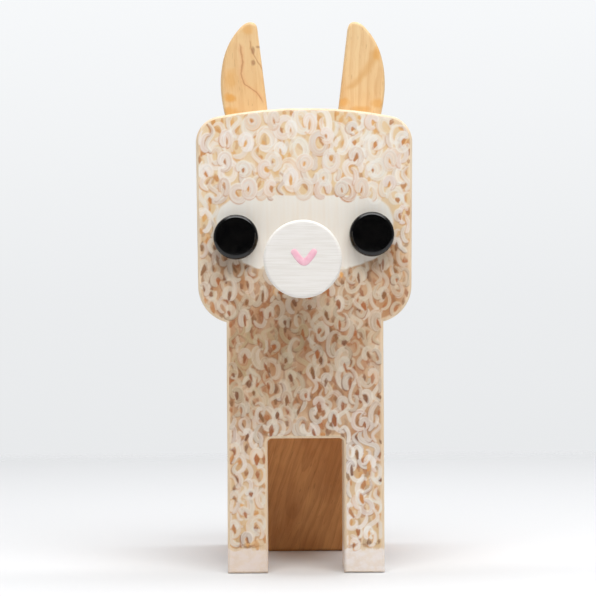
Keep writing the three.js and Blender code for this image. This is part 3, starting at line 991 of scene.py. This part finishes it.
    def build(self, name, from_z, to_z):
        """The paint between two heights, as a thin relief whose rim turns down into the wood."""
        canvas, face = self.under, self.low.y
        rows, cols = self.depth.shape
        inside = self.depth > 0
        cells = inside[:-1, :-1] | inside[1:, :-1] | inside[:-1, 1:] | inside[1:, 1:]
        cells &= ((canvas.z[:-1] >= from_z) & (canvas.z[:-1] < to_z))[:, None]
        used = np.zeros((rows, cols), bool)
        for dr in (0, 1):
            for dc in (0, 1):
                used[dr : rows - 1 + dr, dc : cols - 1 + dc] |= cells
        number = np.full((rows, cols), -1)
        number[used] = np.arange(used.sum())
        fade = np.clip(self.depth / (0.45 * MM), 0, 1)
        x, z = np.where(inside, self.x, self.near_x), np.where(inside, self.z, self.near_z)
        y = face - 0.006 * MM - canvas.height * fade
        verts = np.stack([x[used], y[used], z[used]], axis=1)
        r, c = np.nonzero(cells)
        faces = np.stack([number[r, c], number[r, c + 1], number[r + 1, c + 1], number[r + 1, c]], axis=1)
        obj = piece(name, verts.tolist(), faces.tolist(), PAINTED)
        tone = canvas.colour / np.maximum(canvas.cover, 1e-6)[..., None]
        cover = canvas.cover * (fade > 0)
        paint_layer(obj.data, np.concatenate([tone[used], cover[used][:, None]], axis=1))
        solid = bmesh.new()
        solid.from_mesh(obj.data)
        joint = [z for z in (from_z, to_z) if self.low.z < z < self.high.z]
        rim = []
        for edge in solid.edges:
            at_joint = any(all(abs(v.co.z - z) < 1.01 * GRID for v in edge.verts) for z in joint)
            if edge.is_boundary and not at_joint:
                rim.append(edge)
        for part in bmesh.ops.extrude_edge_only(solid, edges=rim)["geom"]:
            if isinstance(part, bmesh.types.BMVert):
                part.co.y = face + 0.05 * MM
        solid.to_mesh(obj.data)
        solid.free()


coat = Coat()
coat.build("painted_coat_head", CHIN, coat.high.z)
coat.build("painted_coat_body", coat.low.z, CHIN)


# ---------------------------------------------------------------- floor, light and camera
FAR_FADE = 0.07  # how far before its far edge the floor starts to melt away
ROUND_FADE = (0.43, 0.6)  # how far from the stand it starts and ends to melt away
LAMPS = {  # place, the point it is turned to, size and watts
    "key_top": ((0.06, -0.33, 0.56), (0.02, 0.1, 0.16), (0.6, 0.4), 3.8),
    "room_top": ((0.08, 0.12, 1.0), (0.05, 0.4, 0.42), (1.4, 0.25), 6.9),
}
CAMERA_PLACE = (-8 * MM, -609 * MM, 72.8 * MM)
CAMERA_TURN = (90, 0.3, -0.605)
CAMERA_LENS = 133.3


def studio():
    """A pale table that melts into the pale room, behind the stand and all round further out."""
    half, near, far = 1.2, -1.0, 0.44
    verts = [(-half, near, 0), (half, near, 0), (half, far, 0), (-half, far, 0)]
    mesh = bpy.data.meshes.new("studio_floor")
    mesh.from_pydata(verts, [], [(0, 1, 2, 3)])
    m = Nodes("studio_white")
    m.set(Base_Color=(0.72, 0.725, 0.735, 1), Roughness=0.8)
    room = m.add("ShaderNodeTexCoord", out="Object")
    spread = m.vector("LENGTH", room, out="Value")
    behind = m.range(m.axis(room, "Y"), far - FAR_FADE, far, 1.0, 0.0)
    m.set(Alpha=m.math("MULTIPLY", behind, m.range(spread, *ROUND_FADE, 1.0, 0.0)))
    mesh.materials.append(m.owner)
    in_scene("studio_floor", mesh)


def area_light(name, place, target, size, watts):
    data = bpy.data.lights.new(name, "AREA")
    data.shape = "RECTANGLE"
    data.size, data.size_y = size
    data.energy = watts
    lamp = in_scene(name, data)
    lamp.location = place
    lamp.rotation_euler = (Vector(target) - Vector(place)).to_track_quat("-Z", "Y").to_euler()
    lamp.visible_camera = False


def ramp_of(m, value, stops):
    """A smooth change of brightness along value, which runs from 0 to 1."""
    ramp = m.tree.nodes.new("ShaderNodeValToRGB")
    while len(ramp.color_ramp.elements) < len(stops):
        ramp.color_ramp.elements.new(0.5)
    for element, (place, level) in zip(ramp.color_ramp.elements, stops):
        element.position = place
        element.color = (level, level, level, 1)
    m.give(ramp.inputs[0], value)
    return ramp.outputs[0]


def lights():
    """A large soft light overhead and a little in front, in a room that is pale behind and dark in front."""
    for name, lamp in LAMPS.items():
        area_light(name, *lamp)
    m = Nodes("studio_world", "worlds", "Background")
    room = m.add("ShaderNodeTexCoord", out="Generated")
    levels = []
    for axis, scale in (("Y", 0.5), ("Z", 2.0)):
        inputs = {0: m.axis(room, axis), 1: scale, 2: 0.5}
        levels.append(m.add("ShaderNodeMath", inputs, operation="MULTIPLY_ADD"))
    glow = ramp_of(m, levels[0], [(0.05, 0.01), (0.45, 0.29), (0.62, 0.4), (0.75, 0.76)])
    seen = ramp_of(m, levels[1], [(0.33, 0.83), (0.5, 0.86), (0.8, 0.97)])
    by_camera = m.add("ShaderNodeLightPath", out="Is Camera Ray")
    m.set(Strength=m.add("ShaderNodeMix", {0: by_camera, 2: glow, 3: seen}), Color=(0.97, 0.985, 1.0, 1))
    bpy.context.scene.world = m.owner


def camera():
    """A level camera a little to the left of the stand, at the height of its neck."""
    data = bpy.data.cameras.new("camera")
    data.sensor_width = 36
    data.lens = CAMERA_LENS
    data.clip_start, data.clip_end = 0.01, 20
    cam = in_scene("camera", data)
    cam.location = CAMERA_PLACE
    cam.rotation_euler = [math.radians(angle) for angle in CAMERA_TURN]
    bpy.context.scene.camera = cam


studio()
lights()
camera()
bpy.context.scene.view_settings.view_transform = "Standard"
